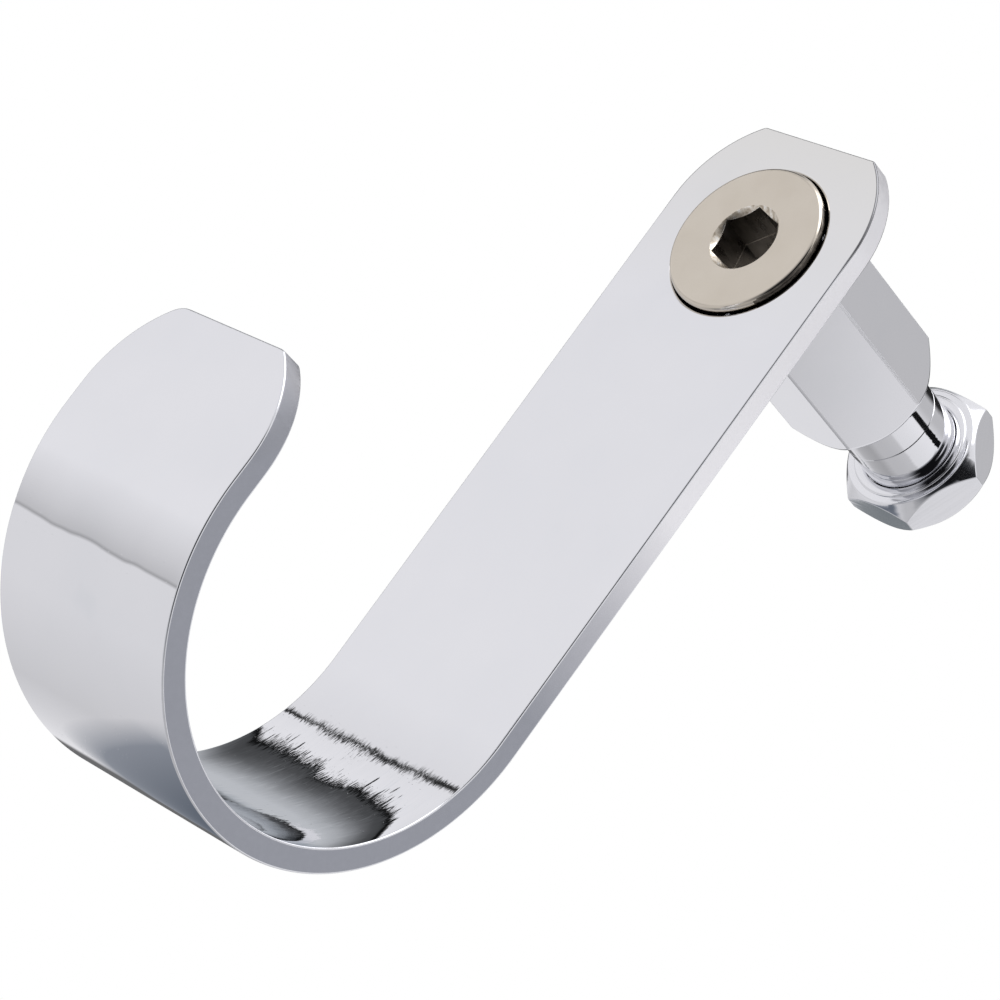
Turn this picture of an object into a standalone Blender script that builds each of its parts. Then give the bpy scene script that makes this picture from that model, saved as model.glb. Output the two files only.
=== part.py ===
"""Headphone hook that clamps to a panel.

A chromed flat bar is bent into a hook. A countersunk screw holds it to a hexagonal
spacer, and behind the spacer a stud carries a sleeve and a lock nut. The panel sits
between the spacer's shoulder and the nut.

Metres, +Z up. The origin is on the stud's axis, in the plane of the shoulder. +Y points
out of the panel's back, so the hook lies at -Y and hangs down from the screw.
"""

import math

import bmesh
import bpy

# Flat bar of the hook
BAR_WIDTH = 0.030
BAR_THICKNESS = 0.003
BAR_EDGE_BREAK = 0.0003
BEND_RADIUS = 0.0248
BEND_DROP = 0.0658
TOP_RISE = 0.01465
TIP_RISE = 0.0148
TOP_CROP = 0.0030
TIP_CROP = 0.0029
TOP_CORNER_RADIUS = 0.0008
TIP_CORNER_RADIUS = 0.0014

# Thread of the screw, the stud and the nut
THREAD_DIAMETER = 0.010
THREAD_PITCH = 0.0015
THREAD_FLANK_ANGLE = math.radians(30.0)
CREST_SHARE = 1 / 8
ROOT_SHARE = 1 / 4

# Clamp screw
HEAD_DIAMETER = 0.020
HEAD_PROUD = 0.0010
HEAD_RIM_LAND = 0.0004
SOCKET_ACROSS_FLATS = 0.0075
SOCKET_DEPTH = 0.0050
SOCKET_BREAK = 0.0002
SOCKET_TURN = math.radians(42.5)

# Spacer, with the turned spigot behind its shoulder
SPACER_LENGTH = 0.0278
SPIGOT_LENGTH = 0.0053
NECK_WALL = 0.00095
NECK_EDGE_BREAK = 0.0001
SHOULDER_WIDTH = 0.00235
HEX_CHAMFER_INSET = 0.0005
HEX_CHAMFER_ANGLE = math.radians(50.0)

# Lock nut, and the panel space that it closes
PANEL_SPACE = 0.0113
NUT_THICKNESS = 0.0062
NUT_RIM_WIDTH = 0.00215
COUNTERBORE_DEPTH = 0.0010
COUNTERBORE_GAP = 0.0004
NUT_LEAD_IN = 0.0005

# Stud
STUD_REACH = 0.0140
STUD_PROUD = 0.0020
STUD_TO_SCREW = 0.0020

# Clearances between pieces that touch or run on the real object
SEAT_GAP = 0.0003
RUNNING_GAP = 0.0003

# Facets
ROUND_SEGMENTS = 40
THREAD_SEGMENTS = 20
BEND_STEPS = 48
END_ROUND_STEPS = 10
CORNER_STEPS = 3
RIM_STEPS = 3
EDGE_BREAK_STEPS = 2
SMOOTH_ANGLE = math.radians(30.0)
EDGE_ANGLE = math.radians(60.0)
FLUSH_ANGLE = math.radians(0.1)

# A cutter runs this far past the faces that it opens
CUT_PAST = 0.0010

# Places on the axis
BAR_BACK = -(SPACER_LENGTH + SEAT_GAP)
BAR_FRONT = BAR_BACK - BAR_THICKNESS
SLEEVE_START = SPIGOT_LENGTH + SEAT_GAP
SLEEVE_END = PANEL_SPACE + COUNTERBORE_DEPTH - SEAT_GAP
NUT_BACK = PANEL_SPACE + NUT_THICKNESS
STUD_FRONT = SPIGOT_LENGTH - STUD_REACH
STUD_BACK = NUT_BACK + STUD_PROUD
SCREW_TIP = STUD_FRONT - STUD_TO_SCREW

# Radii about the axis
THREAD_RADIUS = THREAD_DIAMETER / 2
FLANK_SHARE = (1 - CREST_SHARE - ROOT_SHARE) / 2
THREAD_DEPTH = FLANK_SHARE * THREAD_PITCH / math.tan(THREAD_FLANK_ANGLE)
BORE_RADIUS = THREAD_RADIUS + RUNNING_GAP
NECK_RADIUS = BORE_RADIUS + NECK_WALL
HEX_FLAT_RADIUS = NECK_RADIUS + SHOULDER_WIDTH
COUNTERBORE_RADIUS = NECK_RADIUS + COUNTERBORE_GAP
NUT_FLAT_RADIUS = COUNTERBORE_RADIUS + NUT_RIM_WIDTH
HEAD_RADIUS = HEAD_DIAMETER / 2
SEAT_RADIUS = HEAD_RADIUS + RUNNING_GAP * math.sqrt(2)

# Colours and roughness of the finishes, with metallic value 1
CHROME = (0.80, 0.81, 0.84)
NICKEL = (0.62, 0.57, 0.49)
ZINC = (0.58, 0.59, 0.61)
POLISHED = 0.08
SATIN = 0.25


def clear_scene():
    for item in list(bpy.data.objects):
        bpy.data.objects.remove(item, do_unlink=True)


def metal(name, colour, roughness):
    material = bpy.data.materials.new(name)
    material.use_nodes = True
    shader = material.node_tree.nodes["Principled BSDF"]
    shader.inputs["Base Color"].default_value = (*colour, 1.0)
    shader.inputs["Metallic"].default_value = 1.0
    shader.inputs["Roughness"].default_value = roughness
    return material


def add_empty(name):
    empty = bpy.data.objects.new(name, None)
    empty.empty_display_size = BAR_WIDTH
    bpy.context.scene.collection.objects.link(empty)
    return empty


def add_solid(name, bm, parent, place=0.0):
    """Turns a closed bmesh into an object whose origin lies on the axis at Y = place."""
    bmesh.ops.recalc_face_normals(bm, faces=bm.faces)
    mesh = bpy.data.meshes.new(name)
    bm.to_mesh(mesh)
    bm.free()
    mesh.shade_smooth()
    mesh.set_sharp_from_angle(angle=SMOOTH_ANGLE)
    solid = bpy.data.objects.new(name, mesh)
    bpy.context.scene.collection.objects.link(solid)
    solid.parent = parent
    solid.location = (0.0, place, 0.0)
    return solid


def combine(piece, tool, operation):
    """Adds a Boolean of the piece with a tool shape, which only shows as a wire guide."""
    tool.hide_render = True
    tool.display_type = "WIRE"
    modifier = piece.modifiers.new(tool.name, "BOOLEAN")
    modifier.operation = operation
    modifier.solver = "EXACT"
    modifier.object = tool


def turned(profile, ring=False):
    """Spins (y, radius) points about Y into a solid with flat ends, or into a closed ring."""
    bm = bmesh.new()
    verts = [bm.verts.new((radius, y, 0.0)) for y, radius in profile]
    pairs = list(zip(verts, verts[1:]))
    if ring:
        pairs.append((verts[-1], verts[0]))
    edges = [bm.edges.new(pair) for pair in pairs]
    bmesh.ops.spin(
        bm,
        geom=verts + edges,
        cent=(0.0, 0.0, 0.0),
        axis=(0.0, 1.0, 0.0),
        angle=2 * math.pi,
        steps=ROUND_SEGMENTS,
        use_merge=True,
    )
    bmesh.ops.holes_fill(bm, edges=[edge for edge in bm.edges if edge.is_boundary])
    return bm


def hex_prism(flat_radius, start, end, turn=0.0):
    """Hexagonal prism along Y, with a corner at the turn angle from +X towards +Z."""
    bm = bmesh.new()
    corner = flat_radius / math.cos(math.pi / 6)
    ring = []
    for side in range(6):
        angle = turn + side * math.pi / 3
        ring.append(bm.verts.new((corner * math.cos(angle), start, corner * math.sin(angle))))
    face = bm.faces.new(ring)
    grown = bmesh.ops.extrude_face_region(bm, geom=[face])
    moved = [item for item in grown["geom"] if isinstance(item, bmesh.types.BMVert)]
    bmesh.ops.translate(bm, verts=moved, vec=(0.0, end - start, 0.0))
    return bm


def thread_rod(grow, start, end):
    """Rod along Y with a right-hand thread, made wider by grow, that runs past start and end.

    Its thread keeps the same phase from the origin at every call, so two such rods mesh.
    """
    crest = THREAD_RADIUS + grow
    root = crest - THREAD_DEPTH
    foot = CREST_SHARE + FLANK_SHARE
    profile = ((0.0, crest), (CREST_SHARE, crest), (foot, root), (foot + ROOT_SHARE, root))
    first = (math.floor(start / THREAD_PITCH) - 1) * THREAD_SEGMENTS
    last = (math.ceil(end / THREAD_PITCH) + 1) * THREAD_SEGMENTS
    bm = bmesh.new()

    def point(step, share, radius):
        angle = 2 * math.pi * step / THREAD_SEGMENTS
        y = THREAD_PITCH * (step / THREAD_SEGMENTS + share)
        return bm.verts.new((radius * math.sin(angle), y, radius * math.cos(angle)))

    starts = [point(step, *profile[0]) for step in range(first, last + THREAD_SEGMENTS + 1)]
    ribs = []
    for index, step in enumerate(range(first, last + 1)):
        inner = [point(step, *corner) for corner in profile[1:]]
        ribs.append([starts[index], *inner, starts[index + THREAD_SEGMENTS]])
    for rib, following in zip(ribs, ribs[1:]):
        for row in range(len(profile)):
            bm.faces.new((rib[row], following[row], following[row + 1], rib[row + 1]))
    for rib, helix in ((ribs[0], starts[: THREAD_SEGMENTS + 1]), (ribs[-1], starts[-THREAD_SEGMENTS - 1 :])):
        axis_y = (helix[0].co.y + helix[-1].co.y) / 2
        centre = bm.verts.new((0.0, axis_y, 0.0))
        loop = helix + rib[-2:0:-1]
        for here, there in zip(loop, loop[1:] + loop[:1]):
            bm.faces.new((centre, here, there))
    return bm


def half_width(distance, crop, corner_radius):
    """Half the bar's width at a distance from a round end that is cropped square."""
    radius = BAR_WIDTH / 2
    along = radius - crop - distance
    corner_along = radius - crop - corner_radius
    corner_side = math.sqrt((radius - corner_radius) ** 2 - corner_along**2)
    tangent = corner_along * radius / (radius - corner_radius)
    if along > tangent:
        return corner_side + math.sqrt(max(corner_radius**2 - (along - corner_along) ** 2, 0.0))
    if along > 0.0:
        return math.sqrt(radius**2 - along**2)
    return radius


def end_stations(crop, corner_radius):
    """Distances from a cropped round end at which its outline turns."""
    radius = BAR_WIDTH / 2
    end = radius - crop
    corner_along = end - corner_radius
    sweep = math.acos(corner_along / (radius - corner_radius))
    distances = []
    for step in range(CORNER_STEPS + 1):
        angle = sweep * step / CORNER_STEPS
        distances.append(end - corner_along - corner_radius * math.cos(angle))
    for step in range(1, END_ROUND_STEPS + 1):
        angle = sweep + (math.pi / 2 - sweep) * step / END_ROUND_STEPS
        distances.append(end - radius * math.cos(angle))
    return distances


def bar_frame(length):
    """Point on the bar's inner face, as (y, z), and its outward normal, at a length from the top end."""
    leg = TOP_RISE + BEND_DROP
    bend = math.pi * BEND_RADIUS
    if length <= leg:
        return (0.0, TOP_RISE - length), (1.0, 0.0)
    if length >= leg + bend:
        return (-2 * BEND_RADIUS, length - leg - bend - BEND_DROP), (-1.0, 0.0)
    angle = (length - leg) / BEND_RADIUS
    normal = (math.cos(angle), -math.sin(angle))
    return (BEND_RADIUS * (normal[0] - 1.0), BEND_RADIUS * normal[1] - BEND_DROP), normal


def bent_bar():
    """The hook's bar with square edges, its inner face at Y = 0 beside the screw."""
    leg = TOP_RISE + BEND_DROP
    bend = math.pi * BEND_RADIUS
    total = leg + bend + TIP_RISE
    lengths = [leg + bend * step / BEND_STEPS for step in range(BEND_STEPS + 1)]
    lengths += end_stations(TOP_CROP, TOP_CORNER_RADIUS)
    lengths += [total - distance for distance in end_stations(TIP_CROP, TIP_CORNER_RADIUS)]
    bm = bmesh.new()
    rings = []
    for length in sorted(lengths):
        (y, z), (normal_y, normal_z) = bar_frame(length)
        half = min(
            half_width(length, TOP_CROP, TOP_CORNER_RADIUS),
            half_width(total - length, TIP_CROP, TIP_CORNER_RADIUS),
        )
        outer_y = y + BAR_THICKNESS * normal_y
        outer_z = z + BAR_THICKNESS * normal_z
        corners = ((-half, y, z), (half, y, z), (half, outer_y, outer_z), (-half, outer_y, outer_z))
        rings.append([bm.verts.new(corner) for corner in corners])
    for ring, following in zip(rings, rings[1:]):
        for side in range(4):
            ahead = (side + 1) % 4
            bm.faces.new((ring[side], ring[ahead], following[ahead], following[side]))
    bm.faces.new(rings[0])
    bm.faces.new(rings[-1])
    bm.normal_update()
    across = [edge for edge in bm.edges if edge.verts[0].co.x * edge.verts[1].co.x < 0.0]
    flush = [edge for edge in across if edge.calc_face_angle() < FLUSH_ANGLE]
    bmesh.ops.dissolve_edges(bm, edges=flush)
    return bm


def screw_space(parent):
    """Space that the screw takes through the bar and the spacer, with its clearance."""
    before = BAR_FRONT - CUT_PAST
    cone_end = BAR_FRONT + SEAT_RADIUS - BORE_RADIUS
    past = SPIGOT_LENGTH + CUT_PAST
    profile = [
        (before, SEAT_RADIUS + CUT_PAST),
        (cone_end, BORE_RADIUS),
        (past, BORE_RADIUS),
    ]
    return add_solid("screw_space", turned(profile), parent)


def hook_strap(parent, space):
    strap = add_solid("hook_strap", bent_bar(), parent, BAR_FRONT)
    strap.data.materials.append(metal("polished_chrome_bar", CHROME, POLISHED))
    edges = strap.modifiers.new("edge_break", "BEVEL")
    edges.limit_method = "ANGLE"
    edges.angle_limit = EDGE_ANGLE
    edges.width = BAR_EDGE_BREAK
    edges.segments = EDGE_BREAK_STEPS
    edges.use_clamp_overlap = False
    combine(strap, space, "DIFFERENCE")


def clamp_screw(parent):
    rim = HEAD_PROUD - HEAD_RIM_LAND
    profile = []
    for step in range(RIM_STEPS + 1):
        angle = math.pi / 2 * step / RIM_STEPS
        y = -HEAD_RIM_LAND - rim * math.cos(angle)
        profile.append((y, HEAD_RADIUS - rim + rim * math.sin(angle)))
    tip = SCREW_TIP - BAR_FRONT
    profile += [
        (0.0, HEAD_RADIUS),
        (HEAD_RADIUS - THREAD_RADIUS, THREAD_RADIUS),
        (tip - THREAD_DEPTH, THREAD_RADIUS),
        (tip, THREAD_RADIUS - THREAD_DEPTH),
    ]
    screw = add_solid("clamp_screw", turned(profile), parent, BAR_FRONT)
    screw.data.materials.append(metal("satin_nickel_screw", NICKEL, SATIN))

    flat_radius = SOCKET_ACROSS_FLATS / 2
    floor = SOCKET_DEPTH - HEAD_PROUD
    before = -HEAD_PROUD - CUT_PAST
    socket = hex_prism(flat_radius, before, floor, SOCKET_TURN)
    combine(screw, add_solid("socket_cut", socket, parent, BAR_FRONT), "DIFFERENCE")

    mouth_radius = flat_radius / math.cos(math.pi / 6) + SOCKET_BREAK
    throat_radius = flat_radius - SOCKET_BREAK
    throat = mouth_radius - throat_radius - HEAD_PROUD
    mouth = [
        (before, mouth_radius + CUT_PAST),
        (throat, throat_radius),
    ]
    combine(screw, add_solid("socket_mouth_cut", turned(mouth), parent, BAR_FRONT), "DIFFERENCE")


def hex_spacer(parent, space):
    before = -SPACER_LENGTH - CUT_PAST
    end_radius = HEX_FLAT_RADIUS - HEX_CHAMFER_INSET
    outline = [
        (before, end_radius - before / math.tan(HEX_CHAMFER_ANGLE)),
        (0.0, end_radius),
        (0.0, NECK_RADIUS),
        (SPIGOT_LENGTH - NECK_EDGE_BREAK, NECK_RADIUS),
        (SPIGOT_LENGTH, NECK_RADIUS - NECK_EDGE_BREAK),
    ]
    blank = hex_prism(HEX_FLAT_RADIUS, -SPACER_LENGTH, SPIGOT_LENGTH + CUT_PAST)
    spacer = add_solid("hex_spacer", blank, parent)
    spacer.data.materials.append(metal("polished_chrome_spacer", CHROME, POLISHED))
    combine(spacer, add_solid("spacer_outline", turned(outline), parent), "INTERSECT")
    combine(spacer, space, "DIFFERENCE")


def threaded_stud(parent):
    bare_radius = THREAD_RADIUS + RUNNING_GAP / 2
    end_radius = THREAD_RADIUS - THREAD_DEPTH - RUNNING_GAP
    taper = bare_radius - end_radius
    outline = [
        (STUD_FRONT, end_radius),
        (STUD_FRONT + taper, bare_radius),
        (STUD_BACK - taper, bare_radius),
        (STUD_BACK, end_radius),
    ]
    stud = add_solid("threaded_stud", thread_rod(0.0, STUD_FRONT, STUD_BACK), parent)
    stud.data.materials.append(metal("bright_zinc_stud", ZINC, SATIN))
    combine(stud, add_solid("stud_outline", turned(outline), parent), "INTERSECT")


def spacer_sleeve(parent):
    length = SLEEVE_END - SLEEVE_START
    profile = [
        (0.0, BORE_RADIUS),
        (0.0, NECK_RADIUS - NECK_EDGE_BREAK),
        (NECK_EDGE_BREAK, NECK_RADIUS),
        (length - NECK_EDGE_BREAK, NECK_RADIUS),
        (length, NECK_RADIUS - NECK_EDGE_BREAK),
        (length, BORE_RADIUS),
    ]
    sleeve = add_solid("spacer_sleeve", turned(profile, ring=True), parent, SLEEVE_START)
    sleeve.data.materials.append(metal("polished_chrome_sleeve", CHROME, POLISHED))


def lock_nut(parent):
    end_radius = NUT_FLAT_RADIUS - HEX_CHAMFER_INSET
    middle = NUT_THICKNESS / 2
    outline = [
        (0.0, end_radius),
        (middle, end_radius + middle / math.tan(HEX_CHAMFER_ANGLE)),
        (NUT_THICKNESS, end_radius),
    ]
    blank = hex_prism(NUT_FLAT_RADIUS, -CUT_PAST, NUT_THICKNESS + CUT_PAST)
    nut = add_solid("lock_nut", blank, parent, PANEL_SPACE)
    nut.data.materials.append(metal("polished_chrome_nut", CHROME, POLISHED))
    combine(nut, add_solid("nut_outline", turned(outline), parent, PANEL_SPACE), "INTERSECT")

    counterbore = [
        (-CUT_PAST, COUNTERBORE_RADIUS),
        (COUNTERBORE_DEPTH, COUNTERBORE_RADIUS),
    ]
    combine(nut, add_solid("nut_counterbore", turned(counterbore), parent, PANEL_SPACE), "DIFFERENCE")

    lead_radius = BORE_RADIUS + NUT_LEAD_IN
    lead_in = [
        (NUT_THICKNESS - lead_radius / 2, lead_radius / 2),
        (NUT_THICKNESS + CUT_PAST, lead_radius + CUT_PAST),
    ]
    combine(nut, add_solid("nut_lead_in", turned(lead_in), parent, PANEL_SPACE), "DIFFERENCE")

    tap = thread_rod(RUNNING_GAP, PANEL_SPACE - CUT_PAST, NUT_BACK + CUT_PAST)
    combine(nut, add_solid("nut_tap", tap, parent), "DIFFERENCE")


def main():
    clear_scene()
    panel_seat = add_empty("panel_seat")
    space = screw_space(panel_seat)
    hook_strap(panel_seat, space)
    clamp_screw(panel_seat)
    hex_spacer(panel_seat, space)
    threaded_stud(panel_seat)
    spacer_sleeve(panel_seat)
    lock_nut(panel_seat)


main()
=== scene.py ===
"""Looks of the headphone hook: chromed bar, nickel screw, hexagonal spacer, sleeve, stud and lock nut.

Metres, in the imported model's frame: +Y out of the panel's back and +Z up, so the bar hangs at -Y.
"""

import math

import bmesh
import bpy
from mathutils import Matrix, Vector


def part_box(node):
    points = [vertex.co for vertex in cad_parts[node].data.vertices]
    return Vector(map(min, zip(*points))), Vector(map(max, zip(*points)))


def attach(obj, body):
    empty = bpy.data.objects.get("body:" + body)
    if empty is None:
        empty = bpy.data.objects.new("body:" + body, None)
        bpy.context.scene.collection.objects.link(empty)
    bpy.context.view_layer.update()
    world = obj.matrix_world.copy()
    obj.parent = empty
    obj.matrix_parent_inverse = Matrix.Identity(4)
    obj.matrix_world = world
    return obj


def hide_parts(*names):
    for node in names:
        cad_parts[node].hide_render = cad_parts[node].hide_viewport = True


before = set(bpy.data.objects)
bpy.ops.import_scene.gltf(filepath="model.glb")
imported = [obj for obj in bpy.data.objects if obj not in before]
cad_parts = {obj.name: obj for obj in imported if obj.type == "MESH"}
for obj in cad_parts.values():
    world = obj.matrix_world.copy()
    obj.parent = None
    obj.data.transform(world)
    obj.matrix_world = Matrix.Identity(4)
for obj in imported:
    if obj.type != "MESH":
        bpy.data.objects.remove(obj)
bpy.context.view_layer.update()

# Hook bar
BAR_THICKNESS = 0.003
BEND_RADIUS = 0.0248
BEND_CENTRE_Z = -0.0658
BEND_STEPS = 120
TIP_RISE = 0.0148
TOP_CROP = 0.0030
TIP_CROP = 0.0029
TOP_CORNER_RADIUS = 0.0008
TIP_RIGHT_CORNER_RADIUS = 0.0014
TIP_LEFT_CORNER_RADIUS = 0.0034
END_ROUND_STEPS = 36
CORNER_STEPS = 6
BAR_EDGE_ROUND = 0.00022

# Clamp screw
HEAD_PROUD = 0.0010
HEAD_RIM_LAND = 0.0004
HEAD_RIM_STEPS = 8
HEAD_GAP = 0.00042
SCREW_EDGE_ROUND = 0.00006
SOCKET_FLAT_RADIUS = 0.00375
SOCKET_DEPTH = 0.0050
SOCKET_MOUTH_BREAK = 0.0002
SOCKET_MOUTH_ANGLE = math.radians(35.0)
SOCKET_MOUTH_DEPTH = SOCKET_DEPTH / 3
SOCKET_TURN = math.radians(47.5)

# Spacer, sleeve and nut
THREAD_RADIUS = 0.005
BORE_RADIUS = 0.0053
NECK_RADIUS = 0.00625
NECK_EDGE_BREAK = 0.00006
JOINT_LINE = 0.00005
HEX_TURN = math.radians(30.0)
HEX_CHAMFER_ANGLE = math.radians(50.0)
SPACER_FLAT_RADIUS = 0.0086
SPACER_END_RADIUS = 0.0081
SPACER_EDGE_ROUND = 0.00025
NUT_FLAT_RADIUS = 0.0088
NUT_END_RADIUS = 0.0083
NUT_EDGE_ROUND = 0.0001
NUT_FACE_BREAK = 0.0002
NUT_LEAD_IN = 0.0005
NUT_LIP_GAP = 0.00008
NUT_LIP_RADIUS = 0.0076
NUT_LIP_RISE = 0.00025
NUT_LIP_STEPS = 12
COUNTERBORE_DEPTH = 0.0010

# Thread of the stud and the nut
THREAD_PITCH = 0.0015
THREAD_DEPTH = 0.00081
CREST_SHARE = 1 / 8
ROOT_SHARE = 1 / 4
THREAD_STEPS = 48
SPARE_TURNS = 2
RUNNING_GAP = 0.0003

# All shapes
ROUND_SIDES = 128
LARGE_ROUND_STEPS = 4
SMALL_ROUND_STEPS = 2
SAME_PLACE = 0.00001
DOUBLES_WITHIN = SAME_PLACE / 10
SAME_WAY = math.radians(0.1)
SAME_STRETCH = 0.000001
CUT_PAST = 0.0010

_, bar_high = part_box("hook_strap")
screw_low, screw_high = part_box("clamp_screw")
_, spacer_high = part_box("hex_spacer")
stud_low, stud_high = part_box("threaded_stud")
sleeve_low, sleeve_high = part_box("spacer_sleeve")
nut_low, nut_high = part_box("lock_nut")

HALF_WIDTH = bar_high.x
TOP_END = bar_high.z
BAR_BACK = bar_high.y
BAR_FRONT = BAR_BACK - BAR_THICKNESS
BEND_CENTRE_Y = BAR_FRONT - BEND_RADIUS
HEAD_RADIUS = screw_high.x

# Bend of the bar: how its inner face is tipped across the width, and the depth over which that fades
INSIDE_FADE = (0.0004, 0.0022)
CURL_CROWN = 450.0
RIGHT_CURL = 0.18
RIGHT_CURL_START = 0.0095
RIGHT_CURL_POWER = 3.0
LEFT_CURL = 0.12
LEFT_CURL_START = -0.0118
LEFT_CURL_POWER = 2.0
CURL_FADE = (-0.0751, -0.0790)
BEND_TWIST = 1.77

# Marks of the polishing wheel in the bend: how far they tip the face, and the places between which they fade
DRAG_TURN = (0.0, math.radians(2.0), 0.0)
HAIR_SCALE = (12000.0, 900.0, 900.0)
HAIR_TIP = 0.056
HAIR_WEIGHT_SCALE = (110.0, 60.0, 60.0)
HAIR_WEIGHT = (0.25, 1.15)
HAIR_FOOT = (-0.0822, -0.0795)
HAIR_FOOT_SHARE = 0.22
HAIR_LINE = (-0.0762, -0.0740)
HAIR_ABOVE_SHARE = 0.62
STROKE_SCALE = (3000.0, 320.0, 320.0)
STROKE_TIP = 0.080
STROKE_NOISE = (0.59, 0.73)
SIDE_CALM = (0.0085, 0.0125)
SIDE_CALM_SHARE = 0.4
COARSE_SCALE = (900.0, 200.0, 200.0)
COARSE_TIP = 0.008
LOBE_TIP = (0.06, 0.014)
LOBE_ACROSS = (-0.0100, -0.0050)
BAY_TIP = -0.056
BAY_LEFT = (-0.0026, -0.0016)
BAY_RIGHT = (0.0005, 0.0045)
WAVE_SCALE = (100.0, 60.0, 60.0)
WAVE_TIP = 0.010
STREAK_SCALE = (3600.0, 220.0, 220.0)
STREAK_SHADE = (-0.20, 0.08)
STREAK_LINE = (-0.0750, -0.0730)
RAGGED_SCALE = (3600.0, 300.0, 300.0)
RAGGED_EDGE = 0.0004
PIT_NOISE = (0.72, 0.80)

# Chrome: its shades by noise, and the heights between which painted light and shade take over: painted warm
# light towards the top end, a painted dark reflection low in the bend, painted shade down the cut edges and a
# painted dark reflection on the top end's rounds
CHROME_SHADES = ((0.35, (0.79, 0.795, 0.82)), (0.65, (0.81, 0.812, 0.835)))
STREAKED_SHADES = ((0.05, (0.66, 0.69, 0.725)), *CHROME_SHADES)
# Painted warm light towards the top end, near the nickel screw, and the heights over which it comes in
PAINTED_WARM_LIGHT = (0.775, 0.768, 0.750, 1.0)
PAINTED_WARM_RISE = (-0.010, 0.014)
# Painted dark reflection low inside the bend: its colour, its share and the heights over which it fades in
PAINTED_DARK_REFLECTION = (0.30, 0.345, 0.41, 1.0)
PAINTED_DARK_PART = 0.75
PAINTED_DARK_BAND = (-0.0884, -0.0870)
# Painted shade on the cut edges: dark grey low round the hook, bright higher up, and the heights between
PAINTED_EDGE_SHADES = ((0.0, (0.365, 0.378, 0.418)), (0.5, (0.57, 0.575, 0.61)), (1.0, (0.95, 0.945, 0.965)))
PAINTED_EDGE_RISE = (-0.062, -0.034)
# Painted dark reflection on the edge rounds towards the top end, and the heights over which it comes in
PAINTED_DARK_ROUND = (0.24, 0.24, 0.25, 1.0)
PAINTED_DARK_ROUND_RISE = (-0.001, 0.004)

# All finishes
NOISE_ROUGHNESS = 0.55
NOISE_LOW = 0.3
NOISE_HIGH = 0.7
FINE_BUMP = 0.00001
COARSE_BUMP = 0.00002

# Faces with a second finish: their reach from the axis, and how much of their normal points along one axis
SEAT_REACH = 0.0012
SOCKET_WALL_REACH = 1.16
SOCKET_MOUTH_REACH = 1.25
HEAD_SIDE_REACH = 0.93
SPACER_EDGE_REACH = 1.05
# Where along X the painted shade on the screw head's side starts
PAINTED_SHADE_START = 0.0072
SQUARE_ON = 0.985
SLANTED = 0.2
LEVEL = 0.1
WALL_TILT = 0.3
SIDE_TILT = 0.5
FLAT_TILT = 0.98

# Studio walls, as (degrees, brightness) round the X axis: 0 is behind the panel, 90 above, -90 below
LEFT_WALL = (
    (-180, 0.93), (-172, 0.93), (-160, 0.82), (-150, 0.71), (-142.2, 0.60), (-141.8, 0.20), (-141.2, 0.20),
    (-140.8, 0.83), (-110, 0.82), (-80, 0.74), (-60, 0.68), (-40, 0.76), (-17, 0.86), (-12, 0.16), (20, 0.13),
    (42, 0.13), (49, 0.60), (66, 0.60), (76, 0.47), (84, 0.29), (92, 0.145), (98, 0.085), (103.5, 0.066),
    (105.5, 0.008), (109.4, 0.008), (110.6, 0.94), (129.9, 0.89), (130.9, 0.006), (133.5, 0.006),
    (134.5, 0.86), (165, 0.92), (180, 0.93),
)
MIDDLE_WALL = (
    (-180, 0.90), (-140, 0.80), (-110, 0.75), (-90, 0.60), (-45, 0.42), (-34, 0.56), (-16, 0.78), (10, 0.80),
    (20, 0.70), (24, 0.02), (44, 0.02), (49, 0.35), (55, 0.80), (62, 0.95), (180, 0.90),
)
RIGHT_WALL = (
    (-180, 0.55), (-150, 0.55), (-112, 0.60), (-95, 0.55), (-70, 0.55), (-45, 0.57), (-33.4, 0.64),
    (-30.8, 0.85), (-16, 0.88), (16, 0.95), (26, 0.90), (40, 0.585), (48, 0.585), (58, 0.95), (100, 0.95),
    (130, 0.85), (160, 0.60), (180, 0.55),
)
LEFT_TO_MIDDLE = (-0.62, -0.50)
MIDDLE_TO_RIGHT = (-0.15, 0.05)
WALL_TINT = (0.99, 0.985, 1.01)
COOL_TINT = (0.965, 0.995, 1.04)
COOL_PART = (10, 108)
BACKDROP = (1.0, 1.0, 1.0, 1.0)

# Round patches on the walls: their direction, the cosines between which their edge fades, and their light
SOFT_BOX_WAY = (0.10, -0.35, 0.93)
SOFT_BOX_EDGE = (0.88, 0.93)
SOFT_BOX_LIGHT = (2.6, 2.6, 2.65, 1.0)
DIM_ROOM_WAY = (0.65, -0.70, -0.30)
DIM_ROOM_EDGE = (0.74, 0.94)
DIM_ROOM_LIGHT = (0.20, 0.205, 0.22, 1.0)
CORNER_WAY = (0.66, -0.70, -0.29)
CORNER_EDGE = (0.905, 0.960)
DOORWAY_WAY = (0.69, -0.69, 0.22)
DOORWAY_EDGE = (0.91, 0.96)
DOORWAY_LIGHT = (0.02, 0.021, 0.024, 1.0)

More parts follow.
